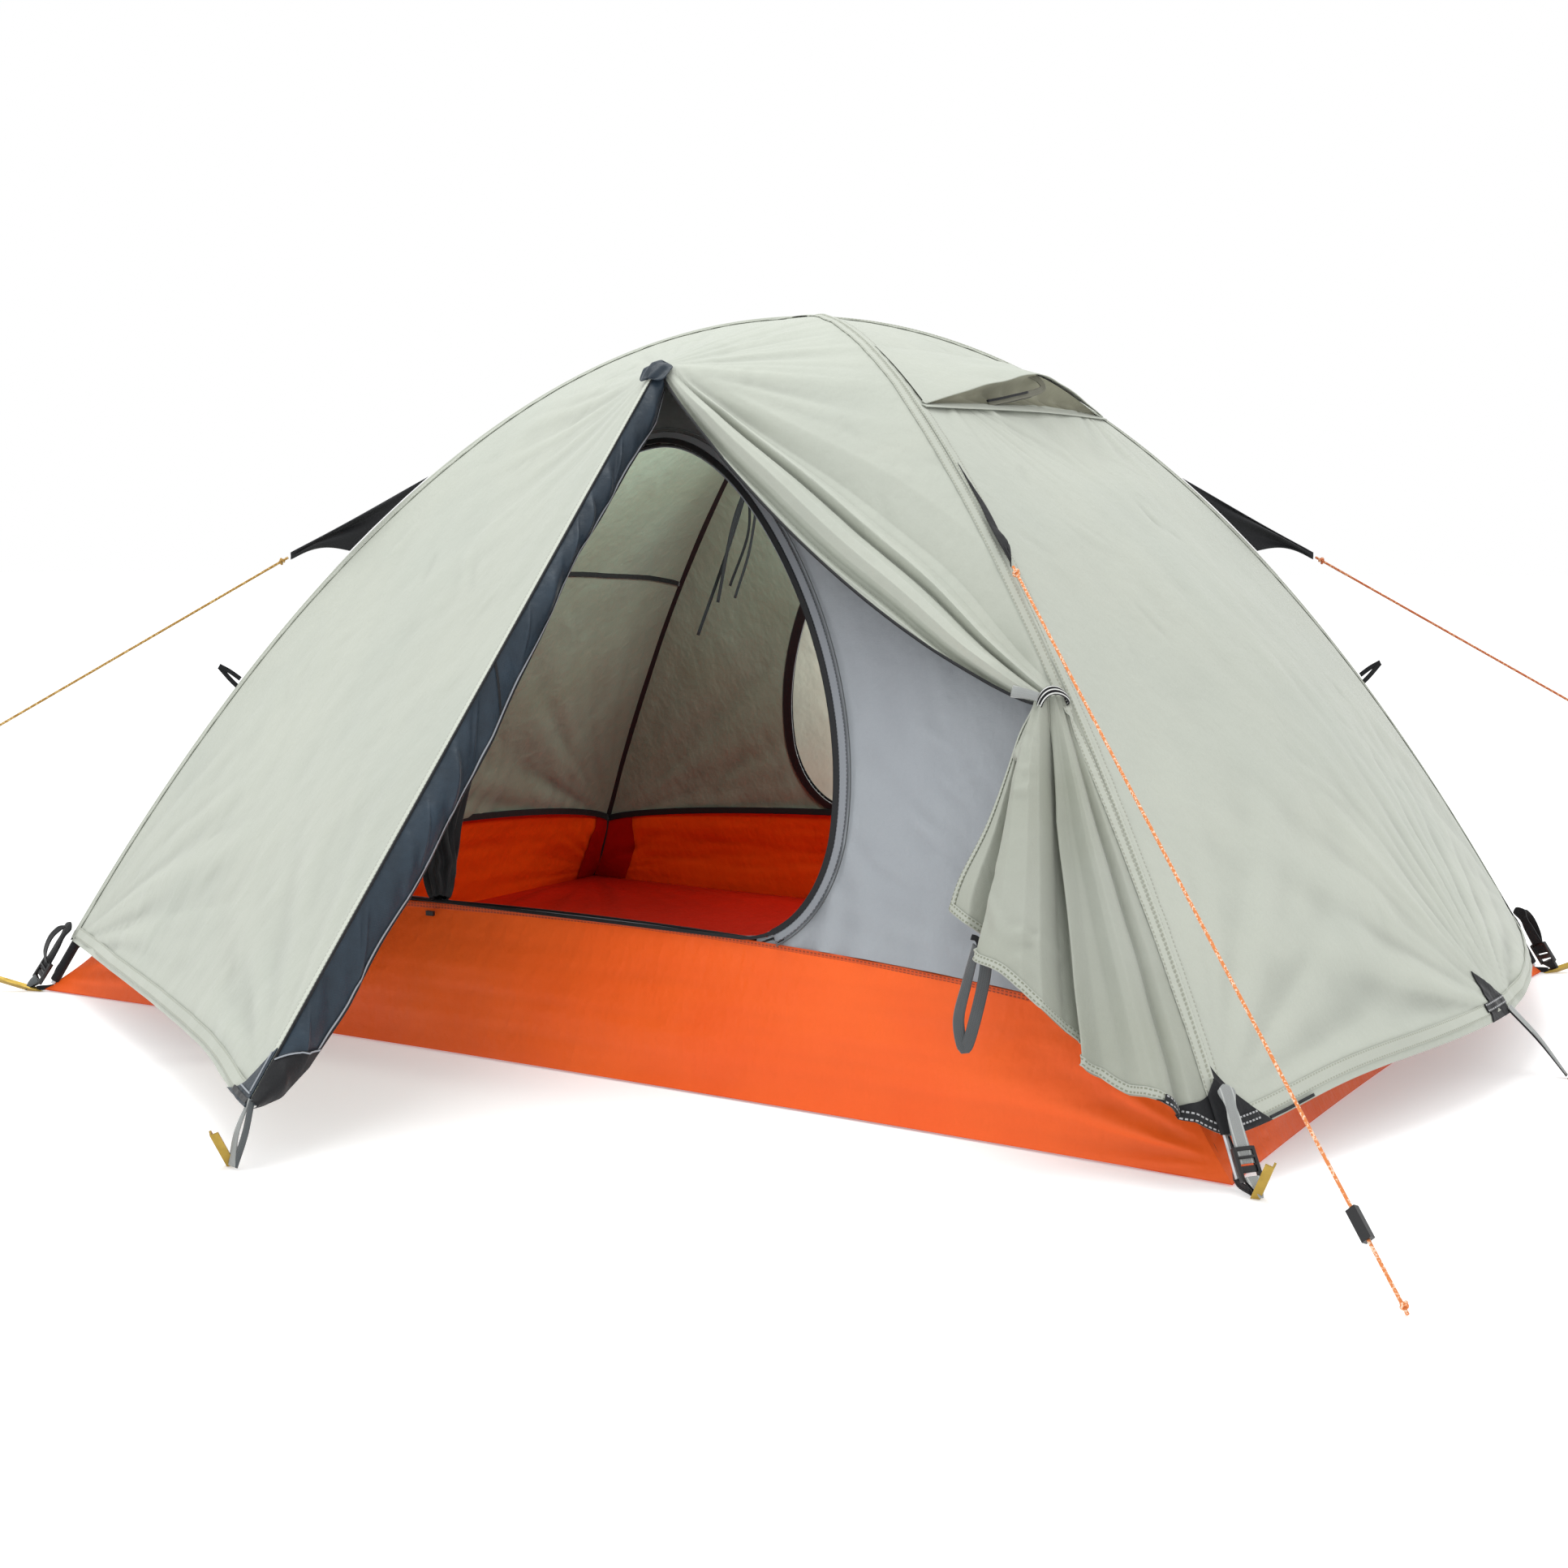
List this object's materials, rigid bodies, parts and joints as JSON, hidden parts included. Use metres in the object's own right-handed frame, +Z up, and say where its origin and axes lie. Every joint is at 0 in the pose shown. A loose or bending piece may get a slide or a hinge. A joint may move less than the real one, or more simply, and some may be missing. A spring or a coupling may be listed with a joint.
{
  "type": "dome tent",
  "caption": "Pitched dome tent on crossed arch poles: inner tent with tub groundsheet under a flysheet, front door half staked and half tied back.",
  "frame": {"origin": "on the ground, under the crown where the poles cross", "axes": "+X along the tent, +Y from the front door to the rear door, +Z up"},
  "size_m": [2.5825, 2.65, 1.118],
  "materials": {
    "fly_cloth": "coated woven polyester, satin",
    "lining_cloth": "uncoated woven polyester, matt",
    "tub_cloth": "coated oxford cloth, satin",
    "navy_cloth": "woven polyester, matt",
    "black_webbing": "woven webbing, matt",
    "grey_webbing": "woven webbing, matt",
    "black_plastic": "moulded acetal, satin",
    "pole_metal": "drawn tube, satin",
    "peg_metal": "gold anodised, satin",
    "guyline_cord": "braided cord with pale flecks"
  },
  "bodies": {
    "tent": {"fly_front_left_panel": "fly_cloth", "fly_front_right_panel": "fly_cloth", "fly_rear_left_panel": "fly_cloth", "fly_rear_right_panel": "fly_cloth", "fly_left_panel": "fly_cloth", "fly_right_panel": "fly_cloth", "tied_back_door": "fly_cloth", "left_vent_hood": "fly_cloth", "right_vent_hood": "fly_cloth", "inner_front_wall": "lining_cloth", "inner_rear_wall": "lining_cloth", "inner_left_wall": "lining_cloth", "inner_right_wall": "lining_cloth", "inner_front_door_bundle": "lining_cloth", "inner_rear_door_bundle": "lining_cloth", "groundsheet_tub": "tub_cloth", "front_left_guy_tab": "black_webbing", "front_right_guy_tab": "black_webbing", "rear_left_guy_tab": "black_webbing", "rear_right_guy_tab": "black_webbing", "left_strap": "grey_webbing", "right_strap": "grey_webbing", "pole_hub": "black_plastic", "front_left_buckle": "black_plastic", "front_right_buckle": "black_plastic", "rear_left_buckle": "black_plastic", "rear_right_buckle": "black_plastic", "pole_front_left": "pole_metal", "pole_front_right": "pole_metal", "pole_rear_left": "pole_metal", "pole_rear_right": "pole_metal", "front_left_peg": "peg_metal", "front_right_peg": "peg_metal", "rear_left_peg": "peg_metal", "rear_right_peg": "peg_metal", "front_peg": "peg_metal", "rear_peg": "peg_metal", "left_peg": "peg_metal", "right_peg": "peg_metal", "front_left_guyline": "guyline_cord", "front_right_guyline": "guyline_cord", "rear_right_guyline": "guyline_cord"},
    "front_door": {"front_door": "fly_cloth", "front_storm_flap": "navy_cloth", "front_door_strap": "grey_webbing"},
    "rear_door": {"rear_door": "fly_cloth", "rear_storm_flap": "navy_cloth", "rear_door_strap": "grey_webbing"},
    "front_zip_slider": {"front_zip_slider": "black_plastic"},
    "rear_zip_slider": {"rear_zip_slider": "black_plastic"},
    "inner_zip_slider": {"inner_zip_slider": "black_plastic"},
    "left_vent_strut": {"left_vent_strut": "black_webbing"},
    "right_vent_strut": {"right_vent_strut": "black_webbing"},
    "guyline_tensioner": {"guyline_tensioner": "black_plastic"},
    "tie_toggle": {"tie_toggle": "grey_webbing"},
    "hanging_peg_loop": {"hanging_peg_loop": "grey_webbing"},
    "front_left_strap": {"front_left_strap": "grey_webbing"},
    "front_right_strap": {"front_right_strap": "grey_webbing"},
    "rear_left_strap": {"rear_left_strap": "grey_webbing"},
    "rear_right_strap": {"rear_right_strap": "grey_webbing"}
  },
  "joints": [
    {"name": "front_door_swing", "type": "hinge", "parent": "tent", "child": "front_door", "pos_m": [0, -0.43, 1.01], "axis": [-0.721, -0.2078, -0.661], "range_deg": [0, 75]},
    {"name": "rear_door_swing", "type": "hinge", "parent": "tent", "child": "rear_door", "pos_m": [0, 0.43, 1.01], "axis": [0.721, 0.2078, -0.661], "range_deg": [0, 75]},
    {"name": "front_zip", "type": "slide", "parent": "front_door", "child": "front_zip_slider", "axis": [0, -0.6743, -0.7385], "range_m": [0, 1.1]},
    {"name": "rear_zip", "type": "slide", "parent": "rear_door", "child": "rear_zip_slider", "axis": [0, -0.6743, 0.7385], "range_m": [0, 1.1]},
    {"name": "inner_zip", "type": "slide", "parent": "tent", "child": "inner_zip_slider", "axis": [1, 0, 0], "range_m": [0, 0.52]},
    {"name": "right_vent_strut_fold", "type": "hinge", "parent": "tent", "child": "right_vent_strut", "pos_m": [0.3905, -0.011, 0.978], "axis": [0, -1, 0], "range_deg": [0, 80]},
    {"name": "left_vent_strut_fold", "type": "hinge", "parent": "tent", "child": "left_vent_strut", "pos_m": [-0.3905, 0.011, 0.978], "axis": [0, 1, 0], "range_deg": [0, 80]},
    {"name": "guyline_tension", "type": "slide", "parent": "tent", "child": "guyline_tensioner", "axis": [-0.6131, 0.4863, 0.6226], "range_m": [0, 0.35]},
    {"name": "tie_toggle_turn", "type": "hinge", "parent": "tent", "child": "tie_toggle", "pos_m": [0.698, -0.573, 0.545], "axis": [0, 1, 0], "range_deg": [-60, 60]},
    {"name": "peg_loop_swing", "type": "hinge", "parent": "tent", "child": "hanging_peg_loop", "pos_m": [0.694, -0.752, 0.25], "axis": [0, 1, 0], "range_deg": [-30, 30]},
    {"name": "front_left_strap_release", "type": "slide", "parent": "tent", "child": "front_left_strap", "axis": [0.4421, 0.3158, 0.8396], "range_m": [0, 0.03]},
    {"name": "front_right_strap_release", "type": "slide", "parent": "tent", "child": "front_right_strap", "axis": [-0.4421, 0.3158, 0.8396], "range_m": [0, 0.03]},
    {"name": "rear_left_strap_release", "type": "slide", "parent": "tent", "child": "rear_left_strap", "axis": [0.4421, -0.3158, 0.8396], "range_m": [0, 0.03]},
    {"name": "rear_right_strap_release", "type": "slide", "parent": "tent", "child": "rear_right_strap", "axis": [-0.4421, -0.3158, 0.8396], "range_m": [0, 0.03]}
  ]
}
